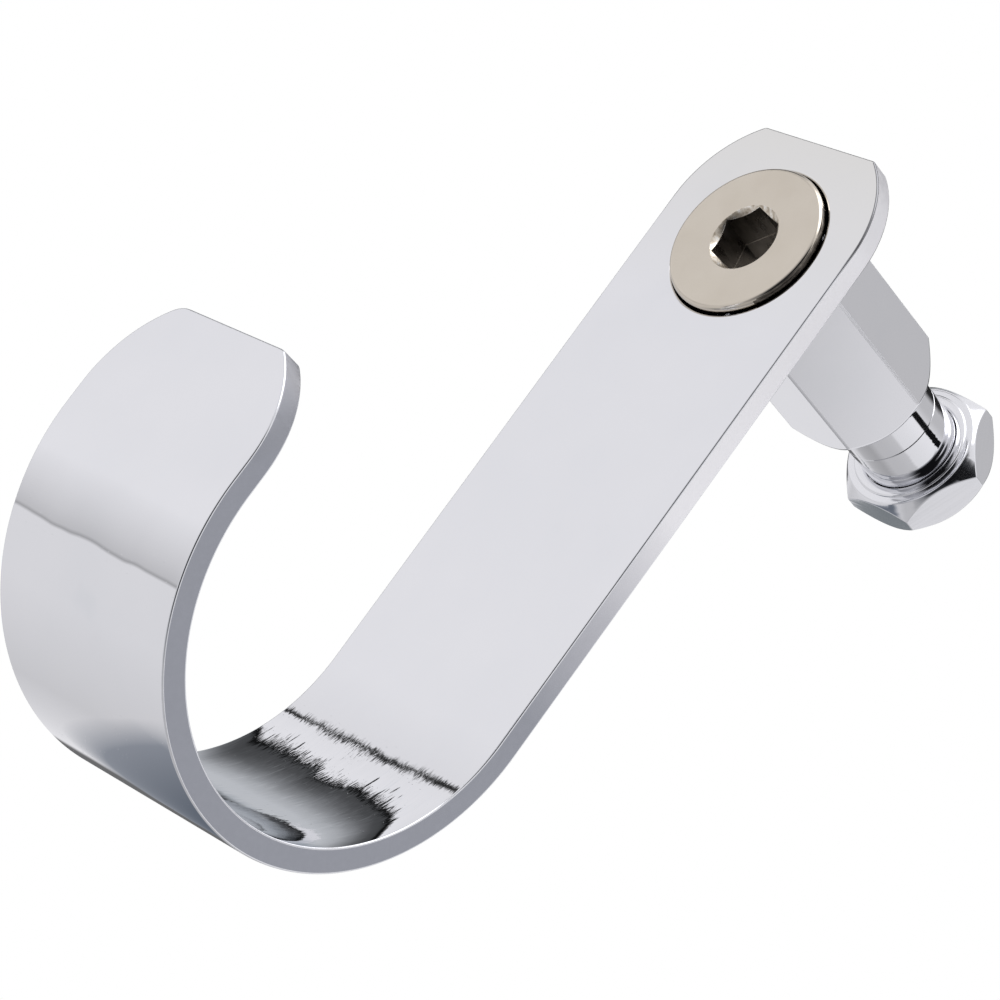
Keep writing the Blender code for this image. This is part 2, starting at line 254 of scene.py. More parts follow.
# Dark cards that only the metal sees: name, size, place, turn in degrees, soft share of each edge, shade
GREY_CARD = (0.29, 0.31, 0.35, 1.0)
SLATE_CARD = (0.135, 0.155, 0.19, 1.0)
DIM_CARD = (0.21, 0.23, 0.245, 1.0)
COAL_CARD = (0.006, 0.006, 0.007, 1.0)
CARD_MIDDLE = 0.5
DARK_CARDS = (
    ("grey_strip_below", (0.36, 0.048), (-0.139, 0.0805, -0.130), (0, 0, 133.8), (0.04, 0.16), GREY_CARD),
    ("dark_strip_below", (0.36, 0.034), (-0.139, 0.0805, -0.1295), (0, 0, 133.8), (0.04, 0.48), SLATE_CARD),
    ("dark_rod_beside", (0.021, 0.060), (0.042, 0.051, 0.023), (0, -69, 0), (0.06, 0.05), COAL_CARD),
    ("dark_card_by_nut", (0.021, 0.012), (0.0278, -0.0045, -0.0005), (0, 80.8, 144.4), (0.1, 0.1), COAL_CARD),
    ("dark_card_on_nut", (0.0068, 0.0013), (0.0065, 0.011, -0.00262), (90, -68, 0), (0.3, 0.2), COAL_CARD),
    ("dark_card_behind", (0.046, 0.034), (-0.081, 0.120, -0.046), (90, 0, 0), (0.10, 0.15), DIM_CARD),
)

# Floor, and the camera that was fitted to the photo
FLOOR_SIZE = 40.0
FLOOR_HEIGHT = -0.30
FLOOR_PAINT = (0.86, 0.86, 0.87, 1.0)
FLOOR_ROUGHNESS = 0.7
CAMERA_LENS = 137.8
CAMERA_SENSOR = 36.0
CAMERA_NEAREST = 0.01
CAMERA_PLACE = (0.30612, -0.32517, -0.12812)
CAMERA_TURN = (104.146, -35.330, 38.602)


def deselect_everything():
    if bpy.context.object and bpy.context.object.mode != "OBJECT":
        bpy.ops.object.mode_set(mode="OBJECT")
    bpy.ops.object.select_all(action="DESELECT")


def select_only(piece):
    deselect_everything()
    piece.select_set(True)
    bpy.context.view_layer.objects.active = piece


def open_piece(name):
    """Names the primitive that was just added, puts its place in its mesh and opens it for shaping."""
    piece = bpy.context.object
    piece.name = name
    piece.data.name = name
    bpy.ops.object.transform_apply(location=True, rotation=True, scale=True)
    bpy.ops.object.mode_set(mode="EDIT")
    bpy.ops.mesh.select_all(action="SELECT")
    return piece


def pick(kind, wanted):
    """Selects the open piece's corners or faces for which wanted(middle, normal) is true."""
    bpy.ops.mesh.select_mode(type=kind)
    bpy.ops.mesh.select_all(action="DESELECT")
    shape = bmesh.from_edit_mesh(bpy.context.object.data)
    if kind == "VERT":
        for corner in shape.verts:
            corner.select_set(wanted(corner.co, corner.normal))
    else:
        for face in shape.faces:
            face.select_set(wanted(face.calc_center_median(), face.normal))
    shape.select_flush_mode()
    bmesh.update_edit_mesh(bpy.context.object.data)


def draw_out(along):
    """Extrudes the selection along a vector."""
    bpy.ops.mesh.extrude_region_move(TRANSFORM_OT_translate={"value": along})


def close_piece(piece):
    """Merges doubles, turns the faces outwards and leaves edit mode."""
    bpy.ops.mesh.select_mode(type="VERT")
    bpy.ops.mesh.select_all(action="SELECT")
    bpy.ops.mesh.remove_doubles(threshold=DOUBLES_WITHIN)
    bpy.ops.mesh.normals_make_consistent(inside=False)
    bpy.ops.object.mode_set(mode="OBJECT")
    return piece


def from_axis(place):
    """Distance of a place from the Y axis, which the screw, the spacer and the nut share."""
    return math.hypot(place.x, place.z)


def turn_on_axis(name, profile, hollow=False):
    """Turns a piece on the Y axis: a disc drawn out ring by ring through (place, radius) steps.

    A hollow profile ends where it starts, and its two discs come out again.
    """
    deselect_everything()
    place, radius = profile[0]
    bpy.ops.mesh.primitive_circle_add(
        vertices=ROUND_SIDES,
        radius=radius,
        fill_type="NGON",
        location=(0.0, place, 0.0),
        rotation=(math.pi / 2, 0.0, 0.0),
    )
    piece = open_piece(name)
    bpy.ops.mesh.select_mode(type="FACE")
    for next_place, next_radius in profile[1:]:
        wider = next_radius / radius
        draw_out((0.0, next_place - place, 0.0))
        if wider != 1.0:
            bpy.ops.transform.resize(value=(wider, 1.0, wider), center_override=(0.0, next_place, 0.0))
        place, radius = next_place, next_radius
    if hollow:
        pick("FACE", lambda middle, normal: from_axis(middle) < SAME_PLACE)
        bpy.ops.mesh.delete(type="ONLY_FACE")
    return close_piece(piece)


def hex_corner_radius(flat_radius):
    return flat_radius / math.cos(math.pi / 6)


def hexagon(name, flat_radius, start, end, turn):
    """Hexagonal prism along Y, with a corner turned from +Z towards +X."""
    deselect_everything()
    bpy.ops.mesh.primitive_circle_add(
        vertices=6,
        radius=hex_corner_radius(flat_radius),
        fill_type="NGON",
        location=(0.0, start, 0.0),
        rotation=(math.pi / 2, turn, 0.0),
    )
    piece = open_piece(name)
    draw_out((0.0, end - start, 0.0))
    return close_piece(piece)


def apply_modifier(piece, modifier):
    select_only(piece)
    bpy.ops.object.modifier_apply(modifier=modifier.name)


def cut(piece, tool, operation="DIFFERENCE"):
    """Cuts a piece with a tool shape, which is then thrown away."""
    modifier = piece.modifiers.new(tool.name, "BOOLEAN")
    modifier.operation = operation
    modifier.solver = "EXACT"
    modifier.object = tool
    apply_modifier(piece, modifier)
    bpy.data.objects.remove(tool, do_unlink=True)


def round_edges(piece, width, steps, sharper_than):
    """Rounds all edges that are sharper than an angle in degrees."""
    bevel = piece.modifiers.new("round_edges", "BEVEL")
    bevel.limit_method = "ANGLE"
    bevel.angle_limit = math.radians(sharper_than)
    bevel.width = width
    bevel.segments = steps
    bevel.use_clamp_overlap = False
    apply_modifier(piece, bevel)


def round_outer_edges(piece, width, steps, sharper_than, outside):
    """Rounds only the sharp edges that lie outside a radius round the Y axis."""
    select_only(piece)
    bpy.ops.object.mode_set(mode="EDIT")
    bpy.ops.mesh.select_mode(type="EDGE")
    bpy.ops.mesh.select_all(action="DESELECT")
    bpy.ops.mesh.edges_select_sharp(sharpness=math.radians(sharper_than))
    shape = bmesh.from_edit_mesh(piece.data)
    for edge in shape.edges:
        middle = (edge.verts[0].co + edge.verts[1].co) / 2
        if from_axis(middle) < outside:
            edge.select_set(False)
    bmesh.update_edit_mesh(piece.data)
    bpy.ops.mesh.bevel(offset=width, segments=steps, affect="EDGES")
    bpy.ops.object.mode_set(mode="OBJECT")


def smooth_faces(piece, sharper_than):
    """Smooths the curves and keeps flat faces flat right up to their rounded edges."""
    select_only(piece)
    bpy.ops.object.shade_smooth_by_angle(angle=math.radians(sharper_than))
    weights = piece.modifiers.new("flat_faces", "WEIGHTED_NORMAL")
    weights.keep_sharp = True
    apply_modifier(piece, weights)


def half_width(distance, crop, corner_radius):
    """Half the bar's width at a distance from a round end that is cropped square."""
    along = HALF_WIDTH - crop - distance
    corner_along = HALF_WIDTH - crop - corner_radius
    corner_side = math.sqrt((HALF_WIDTH - corner_radius) ** 2 - corner_along**2)
    tangent = corner_along * HALF_WIDTH / (HALF_WIDTH - corner_radius)
    if along > tangent:
        return corner_side + math.sqrt(max(corner_radius**2 - (along - corner_along) ** 2, 0.0))
    if along > 0.0:
        return math.sqrt(HALF_WIDTH**2 - along**2)
    return HALF_WIDTH


def end_steps(crop, corner_radius):
    """Distances from a cropped round end at which its outline turns."""
    end = HALF_WIDTH - crop
    corner_along = end - corner_radius
    sweep = math.acos(corner_along / (HALF_WIDTH - corner_radius))
    distances = []
    for step in range(CORNER_STEPS + 1):
        distances.append(corner_radius * (1.0 - math.cos(sweep * step / CORNER_STEPS)))
    for step in range(1, END_ROUND_STEPS + 1):
        angle = sweep + (math.pi / 2 - sweep) * step / END_ROUND_STEPS
        distances.append(end - HALF_WIDTH * math.cos(angle))
    return distances


def draw_row(along, old_row, new_row):
    """Extrudes the last edge of a sheet, and takes its (left, right) ends to new places across X."""
    draw_out(along)
    stretch = (new_row[1] - new_row[0]) / (old_row[1] - old_row[0])
    if abs(stretch - 1.0) > SAME_STRETCH:
        fixed = (new_row[1] - stretch * old_row[1]) / (1.0 - stretch)
        bpy.ops.transform.resize(value=(stretch, 1.0, 1.0), center_override=(fixed, 0.0, 0.0))


def bar_sheet():
    """The bar's inner face as a sheet, drawn down from its top end, spun round the bend and up to its tip."""
    deselect_everything()
    plane_size = 1.0
    plane_middle = TOP_END - plane_size / 2
    bpy.ops.mesh.primitive_plane_add(
        size=plane_size, location=(0.0, BAR_FRONT, plane_middle), rotation=(math.pi / 2, 0.0, 0.0)
    )
    sheet = open_piece("hook_bar")
    pick("VERT", lambda place, normal: place.z < plane_middle)
    bpy.ops.mesh.delete(type="VERT")
    bpy.ops.mesh.select_mode(type="EDGE")
    bpy.ops.mesh.select_all(action="SELECT")

    half = half_width(0.0, TOP_CROP, TOP_CORNER_RADIUS)
    row = (-half, half)
    stretch = 2 * half / plane_size
    bpy.ops.transform.resize(value=(stretch, 1.0, 1.0), center_override=(0.0, BAR_FRONT, TOP_END))
    reached = 0.0
    for distance in end_steps(TOP_CROP, TOP_CORNER_RADIUS)[1:]:
        half = half_width(distance, TOP_CROP, TOP_CORNER_RADIUS)
        draw_row((0.0, 0.0, reached - distance), row, (-half, half))
        reached, row = distance, (-half, half)
    draw_row((0.0, 0.0, BEND_CENTRE_Z - (TOP_END - reached)), row, row)

    bpy.ops.mesh.spin(
        steps=BEND_STEPS,
        angle=math.pi,
        center=(0.0, BEND_CENTRE_Y, BEND_CENTRE_Z),
        axis=(1.0, 0.0, 0.0),
    )

    steps = end_steps(TIP_CROP, TIP_RIGHT_CORNER_RADIUS) + end_steps(TIP_CROP, TIP_LEFT_CORNER_RADIUS)
    distances = []
    for distance in sorted(steps, reverse=True):
        if not distances or distances[-1] - distance > SAME_PLACE:
            distances.append(distance)
    distances[-1] = 0.0
    reached = TIP_RISE
    for distance in distances:
        left = -half_width(distance, TIP_CROP, TIP_LEFT_CORNER_RADIUS)
        right = half_width(distance, TIP_CROP, TIP_RIGHT_CORNER_RADIUS)
        draw_row((0.0, 0.0, reached - distance), row, (left, right))
        reached, row = distance, (left, right)
    return close_piece(sheet)


def join_flat_rows(bar):
    """Joins the rows of the flat ends into single faces, so that the edges round them can be rounded."""
    select_only(bar)
    bpy.ops.object.mode_set(mode="EDIT")
    bpy.ops.mesh.select_mode(type="EDGE")
    bpy.ops.mesh.select_all(action="DESELECT")
    shape = bmesh.from_edit_mesh(bar.data)
    for edge in shape.edges:
        across = edge.verts[0].co.x * edge.verts[1].co.x < 0.0
        edge.select_set(across and edge.calc_face_angle() < SAME_WAY)
    bmesh.update_edit_mesh(bar.data)
    bpy.ops.mesh.dissolve_edges(use_verts=False)
    bpy.ops.object.mode_set(mode="OBJECT")


def screw_space(name):
    """Room for the screw through the bar and the spacer: its head's cone and then its bore."""
    seat_radius = HEAD_RADIUS + HEAD_GAP
    profile = [
        (BAR_FRONT - CUT_PAST, seat_radius + CUT_PAST),
        (BAR_FRONT + seat_radius - BORE_RADIUS, BORE_RADIUS),
        (spacer_high.y + CUT_PAST, BORE_RADIUS),
    ]
    return turn_on_axis(name, profile)


def make_hook_bar():
    bar = bar_sheet()
    front = min(bar.data.polygons, key=lambda face: (face.center.z < 0.0, abs(face.center.y - BAR_FRONT)))
    thick = bar.modifiers.new("bar_thickness", "SOLIDIFY")
    thick.thickness = BAR_THICKNESS
    thick.offset = -1.0 if front.normal.y < 0.0 else 1.0
    thick.use_even_offset = True
    thick.use_quality_normals = True
    apply_modifier(bar, thick)
    join_flat_rows(bar)

    cut(bar, screw_space("screw_hole"))
    round_edges(bar, BAR_EDGE_ROUND, LARGE_ROUND_STEPS, sharper_than=40.0)
    smooth_faces(bar, sharper_than=40.0)
    return bar


def make_clamp_screw():
    rim = HEAD_PROUD - HEAD_RIM_LAND
    profile = []
    for step in range(HEAD_RIM_STEPS + 1):
        angle = math.pi / 2 * step / HEAD_RIM_STEPS
        place = BAR_FRONT - HEAD_RIM_LAND - rim * math.cos(angle)
        profile.append((place, HEAD_RADIUS - rim + rim * math.sin(angle)))
    tip = screw_high.y
    profile += [
        (BAR_FRONT, HEAD_RADIUS),
        (BAR_FRONT + HEAD_RADIUS - THREAD_RADIUS, THREAD_RADIUS),
        (tip - THREAD_DEPTH, THREAD_RADIUS),
        (tip, THREAD_RADIUS - THREAD_DEPTH),
    ]
    screw = turn_on_axis("countersunk_screw", profile)

    top = screw_low.y
    socket = hexagon("key_socket", SOCKET_FLAT_RADIUS, top - CUT_PAST, top + SOCKET_DEPTH, SOCKET_TURN)
    cut(screw, socket)
    mouth_radius = hex_corner_radius(SOCKET_FLAT_RADIUS) + SOCKET_MOUTH_BREAK
    throat_radius = SOCKET_FLAT_RADIUS - SOCKET_MOUTH_BREAK
    slope = math.tan(SOCKET_MOUTH_ANGLE)
    mouth = [
        (top - CUT_PAST * slope, mouth_radius + CUT_PAST),
        (top + (mouth_radius - throat_radius) * slope, throat_radius),
    ]
    cut(screw, turn_on_axis("socket_mouth", mouth))
    round_edges(screw, SCREW_EDGE_ROUND, SMALL_ROUND_STEPS, sharper_than=35.0)
    smooth_faces(screw, sharper_than=40.0)
    return screw


def make_hex_spacer():
    front = BAR_BACK + JOINT_LINE
    neck_end = spacer_high.y + RUNNING_GAP / 2 - JOINT_LINE / 2
    outline = [
        (front - CUT_PAST, SPACER_END_RADIUS + (CUT_PAST - front) / math.tan(HEX_CHAMFER_ANGLE)),
        (0.0, SPACER_END_RADIUS),
    ]
    neck = [
        (-CUT_PAST, NECK_RADIUS),
        (neck_end - NECK_EDGE_BREAK, NECK_RADIUS),
        (neck_end, NECK_RADIUS - NECK_EDGE_BREAK),
    ]
    spacer = hexagon("hexagon_spacer", SPACER_FLAT_RADIUS, front, CUT_PAST, HEX_TURN)
    cut(spacer, turn_on_axis("spacer_outline", outline), "INTERSECT")
    round_edges(spacer, SPACER_EDGE_ROUND, LARGE_ROUND_STEPS, sharper_than=25.0)
    cut(spacer, turn_on_axis("spacer_neck", neck), "UNION")
    cut(spacer, screw_space("spacer_bore"))
    smooth_faces(spacer, sharper_than=40.0)
    return spacer


def make_neck_sleeve():
    front = sleeve_low.y - RUNNING_GAP / 2 + JOINT_LINE / 2
    back = sleeve_high.y
    profile = [
        (front, BORE_RADIUS),
        (front, NECK_RADIUS - NECK_EDGE_BREAK),
        (front + NECK_EDGE_BREAK, NECK_RADIUS),
        (back - NECK_EDGE_BREAK, NECK_RADIUS),
        (back, NECK_RADIUS - NECK_EDGE_BREAK),
        (back, BORE_RADIUS),
        (front, BORE_RADIUS),
    ]
    sleeve = turn_on_axis("neck_sleeve", profile, hollow=True)
    smooth_faces(sleeve, sharper_than=30.0)
    return sleeve


def thread_rod(name, grow, start, end):
    """Rod with a right-hand thread: one groove's profile wound up the Y axis, cut square at both ends."""
    crest = THREAD_RADIUS + grow
    root = crest - THREAD_DEPTH
    flank_share = (1 - CREST_SHARE - ROOT_SHARE) / 2
    first = (math.floor(start / THREAD_PITCH) - SPARE_TURNS) * THREAD_PITCH
    turns = math.ceil((end - first) / THREAD_PITCH) + SPARE_TURNS
    groove = (
        (CREST_SHARE, 0.0),
        (flank_share, root - crest),
        (ROOT_SHARE, 0.0),
        (flank_share, crest - root),
    )
    deselect_everything()
    bpy.ops.mesh.primitive_plane_add(size=THREAD_PITCH, location=(0.0, first, crest))
    rod = open_piece(name)
    bpy.ops.mesh.merge(type="CENTER")
    bpy.ops.mesh.select_mode(type="VERT")
    bpy.ops.mesh.select_all(action="SELECT")
    for share, rise in groove:
        draw_out((0.0, share * THREAD_PITCH, rise))
    bpy.ops.object.mode_set(mode="OBJECT")
    winding = rod.modifiers.new("thread_winding", "SCREW")
    winding.axis = "Y"
    winding.screw_offset = THREAD_PITCH
    winding.iterations = turns
    winding.steps = THREAD_STEPS
    winding.render_steps = THREAD_STEPS
    winding.use_merge_vertices = True
    winding.merge_threshold = SAME_PLACE
    apply_modifier(rod, winding)
    bpy.ops.object.mode_set(mode="EDIT")
    bpy.ops.mesh.select_mode(type="VERT")
    bpy.ops.mesh.select_all(action="SELECT")
    bpy.ops.mesh.remove_doubles(threshold=SAME_PLACE)
    for place, facing in ((start, -1.0), (end, 1.0)):
        bpy.ops.mesh.select_all(action="SELECT")
        bpy.ops.mesh.bisect(
            plane_co=(0.0, place, 0.0), plane_no=(0.0, facing, 0.0), use_fill=True, clear_outer=True
        )
    return close_piece(rod)


def make_threaded_stud():
    end_radius = THREAD_RADIUS - THREAD_DEPTH - RUNNING_GAP
    bare_radius = THREAD_RADIUS + RUNNING_GAP / 2
    taper = bare_radius - end_radius
    outline = [
        (stud_low.y, end_radius),
        (stud_low.y + taper, bare_radius),
        (stud_high.y - taper, bare_radius),
        (stud_high.y, end_radius),
    ]
    stud = thread_rod("thread_stud", 0.0, stud_low.y - CUT_PAST, stud_high.y + CUT_PAST)
    cut(stud, turn_on_axis("stud_outline", outline), "INTERSECT")
    smooth_faces(stud, sharper_than=25.0)
    return stud


def make_lock_nut():
    near = nut_low.y
    back = nut_high.y
    middle = (near + back) / 2
    widest = NUT_END_RADIUS + (back - near) / 2 / math.tan(HEX_CHAMFER_ANGLE)
    lead_radius = BORE_RADIUS + NUT_LEAD_IN
    tap_radius = THREAD_RADIUS + RUNNING_GAP - THREAD_DEPTH
    lip_inside = NECK_RADIUS + NUT_LIP_GAP
    lip_middle = (lip_inside + NUT_LIP_RADIUS) / 2
    lip_reach = (NUT_LIP_RADIUS - lip_inside) / 2
    face = near + NUT_LIP_RISE
    face_radius = NUT_END_RADIUS + NUT_LIP_RISE / math.tan(HEX_CHAMFER_ANGLE)
    profile = [
        (near + COUNTERBORE_DEPTH, tap_radius),
        (near + COUNTERBORE_DEPTH, lip_inside),
    ]
    for step in range(NUT_LIP_STEPS + 1):
        angle = math.pi * step / NUT_LIP_STEPS
        place = near + NUT_LIP_RISE * (1.0 - math.sin(angle))
        profile.append((place, lip_middle - lip_reach * math.cos(angle)))
    profile += [
        (face, NUT_END_RADIUS - NUT_FACE_BREAK),
        (face + NUT_FACE_BREAK / 2, face_radius),
        (middle, widest),
        (back, NUT_END_RADIUS),
        (back, lead_radius),
        (back - lead_radius + tap_radius, tap_radius),
        (near + COUNTERBORE_DEPTH, tap_radius),
    ]
    nut = turn_on_axis("chamfered_nut", profile, hollow=True)
    sides = hexagon("nut_sides", NUT_FLAT_RADIUS, near - CUT_PAST, back + CUT_PAST, HEX_TURN)
    cut(nut, sides, "INTERSECT")
    tap = thread_rod("nut_tap", RUNNING_GAP, near + COUNTERBORE_DEPTH / 2, back + CUT_PAST)
    cut(nut, tap)
    outside = NUT_END_RADIUS - NUT_FACE_BREAK / 2
    round_outer_edges(nut, NUT_EDGE_ROUND, SMALL_ROUND_STEPS, sharper_than=25.0, outside=outside)
    smooth_faces(nut, sharper_than=40.0)
    return nut


def lay(tree, kind, **settings):
    """Lays a node in a tree. A setting that names an input gives that input its value."""
    node = tree.nodes.new("ShaderNode" + kind)
    for name, value in settings.items():
        socket = name.replace("_", " ")
        if hasattr(node, name):
            setattr(node, name, value)
        else:
            node.inputs[socket].default_value = value
    return node


def wire(tree, start, end):
    tree.links.new(start, end)


def new_finish(name):
    """An empty metal finish: its material, node tree and shader."""
    finish = bpy.data.materials.new(name)
    finish.use_nodes = True
    shader = finish.node_tree.nodes["Principled BSDF"]
    shader.inputs["Metallic"].default_value = 1.0
    return finish, finish.node_tree, shader


def calculate(tree, operation, first, second=0.0):
    """Math node on two values, each a socket or a number."""
    node = lay(tree, "Math", operation=operation)
    for slot, value in enumerate((first, second)):
        if isinstance(value, bpy.types.NodeSocket):
            wire(tree, value, node.inputs[slot])
        else:
            node.inputs[slot].default_value = value
    return node.outputs[0]


def times(tree, first, second):
    return calculate(tree, "MULTIPLY", first, second)


def plus(tree, first, second):
    return calculate(tree, "ADD", first, second)


def patches(tree, scale, detail, turn=(0.0, 0.0, 0.0)):
    """Noise on the piece's own coordinates, turned and then scaled apart along X, Y and Z."""
    where = lay(tree, "TexCoord")
    turned = lay(tree, "Mapping", Rotation=turn)
    mapped = lay(tree, "Mapping", Scale=scale)
    noise = lay(tree, "TexNoise", Scale=1.0, Detail=detail, Roughness=NOISE_ROUGHNESS)
    wire(tree, where.outputs["Object"], turned.inputs["Vector"])
    wire(tree, turned.outputs["Vector"], mapped.inputs["Vector"])
    wire(tree, mapped.outputs["Vector"], noise.inputs["Vector"])
    return noise.outputs["Fac"]


def spread(tree, value, low, high, from_low=NOISE_LOW, from_high=NOISE_HIGH):
    """Takes a value from one range to another, and stops at its ends."""
    node = lay(tree, "MapRange")
    wire(tree, value, node.inputs["Value"])
    for name, number in (("From Min", from_low), ("From Max", from_high), ("To Min", low), ("To Max", high)):
        node.inputs[name].default_value = number
    return node.outputs["Result"]


def shades(tree, value, stops):
    """Colour ramp on a value, from (position, colour) stops."""
    node = lay(tree, "ValToRGB")
    ramp = node.color_ramp
    while len(ramp.elements) < len(stops):
        ramp.elements.new(0.5)
    for element, (position, colour) in zip(ramp.elements, stops):
        element.position = position
        element.color = (*colour, 1.0)
    wire(tree, value, node.inputs["Fac"])
    return node.outputs["Color"]


def mixed_in(tree, base, share, colour):
    """Mixes a share of a fixed colour into a base colour."""
    node = lay(tree, "MixRGB", Color2=colour)
    wire(tree, share, node.inputs["Fac"])
    wire(tree, base, node.inputs["Color1"])
    return node.outputs["Color"]


def bumped(tree, height, distance, strength, base=None):
    node = lay(tree, "Bump", Strength=strength, Distance=distance)
    wire(tree, height, node.inputs["Height"])
    if base is not None:
        wire(tree, base, node.inputs["Normal"])
    return node.outputs["Normal"]


def tip_normal(tree, base, axis, amount):
    """Tips a normal, in the piece's own space, along its surface at right angles to an axis."""
    along = lay(tree, "VectorMath", operation="CROSS_PRODUCT")
    along.inputs[1].default_value = axis
    wire(tree, base, along.inputs[0])
    tip = lay(tree, "VectorMath", operation="SCALE")
    wire(tree, along.outputs["Vector"], tip.inputs[0])
    wire(tree, amount, tip.inputs["Scale"])
    added = lay(tree, "VectorMath", operation="ADD")
    wire(tree, base, added.inputs[0])
    wire(tree, tip.outputs["Vector"], added.inputs[1])
    return added.outputs["Vector"]


def to_world(tree, normal):
    turned = lay(tree, "VectorTransform", vector_type="NORMAL", convert_from="OBJECT", convert_to="WORLD")
    wire(tree, normal, turned.inputs["Vector"])
    return turned.outputs["Vector"]


def own_normal(tree):
    return lay(tree, "TexCoord").outputs["Normal"]


def own_place(tree):
    """The piece's own coordinates, split into X, Y and Z."""
    parts = lay(tree, "SeparateXYZ")
    wire(tree, lay(tree, "TexCoord").outputs["Object"], parts.inputs["Vector"])
    return parts.outputs


def length_across(tree, place, across):
    """Length of a place's vector, counting only the axes that are 1 in across."""
    flat = lay(tree, "VectorMath", operation="MULTIPLY")
    flat.inputs[1].default_value = across
    wire(tree, place, flat.inputs[0])
    length = lay(tree, "VectorMath", operation="LENGTH")
    wire(tree, flat.outputs["Vector"], length.inputs[0])
    return length.outputs["Value"]


def inside_bend(tree):
    """1 on the inner face of the bend, 0 on the rest of the bar."""
    where = lay(tree, "TexCoord")
    about_bend = lay(tree, "Mapping", Location=(0.0, -BEND_CENTRE_Y, -BEND_CENTRE_Z))
    wire(tree, where.outputs["Object"], about_bend.inputs["Vector"])
    radius = length_across(tree, about_bend.outputs["Vector"], (0.0, 1.0, 1.0))
    near, far = INSIDE_FADE
    return spread(tree, radius, 1.0, 0.0, BEND_RADIUS + near, BEND_RADIUS + far)


def bend_curl(tree, place):
    """How the bend tips the inner face: crowned across its width, curled at its two edges and twisted."""
    crown = times(tree, times(tree, place["X"], place["X"]), -CURL_CROWN)
    right = spread(tree, place["X"], 0.0, 1.0, RIGHT_CURL_START, HALF_WIDTH)
    right = calculate(tree, "POWER", right, RIGHT_CURL_POWER)
    left = spread(tree, place["X"], 0.0, 1.0, LEFT_CURL_START, -HALF_WIDTH)
    left = calculate(tree, "POWER", left, LEFT_CURL_POWER)
    edges = calculate(tree, "SUBTRACT", times(tree, left, LEFT_CURL), times(tree, right, RIGHT_CURL))
    curl = times(tree, plus(tree, crown, edges), spread(tree, place["Z"], 0.0, 1.0, *CURL_FADE))
    return plus(tree, curl, times(tree, place["X"], BEND_TWIST))


def drag_lines(tree):
    """Normals of the bar: wavy all over, and dragged hair by hair inside the bend by the polishing wheel."""
    place = own_place(tree)
    lower = spread(tree, place["Z"], HAIR_FOOT_SHARE, 1.0, *HAIR_FOOT)
    upper = spread(tree, place["Z"], 1.0, HAIR_ABOVE_SHARE, *HAIR_LINE)
    edge_zone = times(tree, lower, spread(tree, place["Z"], 1.0, 0.0, *HAIR_LINE))

    hairs = spread(tree, patches(tree, HAIR_SCALE, 2.0, DRAG_TURN), -HAIR_TIP, HAIR_TIP)
    thickness = spread(tree, patches(tree, HAIR_WEIGHT_SCALE, 1.0), *HAIR_WEIGHT)
    hairs = times(tree, times(tree, hairs, thickness), times(tree, lower, upper))
    strokes = spread(tree, patches(tree, STROKE_SCALE, 1.0, DRAG_TURN), 0.0, STROKE_TIP, *STROKE_NOISE)
    hairs = plus(tree, hairs, times(tree, strokes, edge_zone))
    from_middle = calculate(tree, "ABSOLUTE", place["X"])
    hairs = times(tree, hairs, spread(tree, from_middle, 1.0, SIDE_CALM_SHARE, *SIDE_CALM))

    coarse = spread(tree, patches(tree, COARSE_SCALE, 3.0), -COARSE_TIP, COARSE_TIP)
    lobe = spread(tree, place["X"], *LOBE_TIP, *LOBE_ACROSS)
    bay = spread(tree, place["X"], 0.0, BAY_TIP, *BAY_LEFT)
    bay = times(tree, bay, spread(tree, place["X"], 1.0, 0.0, *BAY_RIGHT))
    coarse = plus(tree, coarse, times(tree, plus(tree, lobe, bay), edge_zone))

    dragged = plus(tree, plus(tree, hairs, coarse), bend_curl(tree, place))
    dragged = times(tree, dragged, inside_bend(tree))
    waves = spread(tree, patches(tree, WAVE_SCALE, 2.0), -WAVE_TIP, WAVE_TIP)
    tipped = tip_normal(tree, own_normal(tree), (1.0, 0.0, 0.0), plus(tree, dragged, waves))
    return to_world(tree, tipped)


def polished_bar_chrome():
    """Polished chrome: streaked inside the bend, with a painted dark reflection low in the bend and painted
    warm light towards the top end.
    """
    finish, tree, shader = new_finish("polished_bar_chrome")
    height = own_place(tree)["Z"]
    clouds = patches(tree, (60.0, 60.0, 60.0), 3.0)
    streaks = spread(tree, patches(tree, STREAK_SCALE, 2.0, DRAG_TURN), *STREAK_SHADE)
    below_line = spread(tree, height, 1.0, 0.0, *STREAK_LINE)
    streaks = times(tree, streaks, times(tree, below_line, inside_bend(tree)))
    colour = shades(tree, plus(tree, clouds, streaks), STREAKED_SHADES)
    # Painted dark reflection: a ragged band low inside the bend, mixed towards bluish grey
    ragged = spread(tree, patches(tree, RAGGED_SCALE, 2.0, DRAG_TURN), -RAGGED_EDGE, RAGGED_EDGE)
    low = spread(tree, plus(tree, height, ragged), PAINTED_DARK_PART, 0.0, *PAINTED_DARK_BAND)
    colour = mixed_in(tree, colour, times(tree, low, inside_bend(tree)), PAINTED_DARK_REFLECTION)
    # Painted warm light: chrome tinted warmer towards the top end
    colour = mixed_in(tree, colour, spread(tree, height, 0.0, 1.0, *PAINTED_WARM_RISE), PAINTED_WARM_LIGHT)
    wire(tree, colour, shader.inputs["Base Color"])
    wire(tree, spread(tree, clouds, 0.010, 0.035), shader.inputs["Roughness"])
    pits = spread(tree, patches(tree, (2600.0, 2600.0, 2600.0), 1.0), 0.0, 1.0, *PIT_NOISE)
    wire(tree, bumped(tree, pits, FINE_BUMP, 0.4, drag_lines(tree)), shader.inputs["Normal"])
    return finish


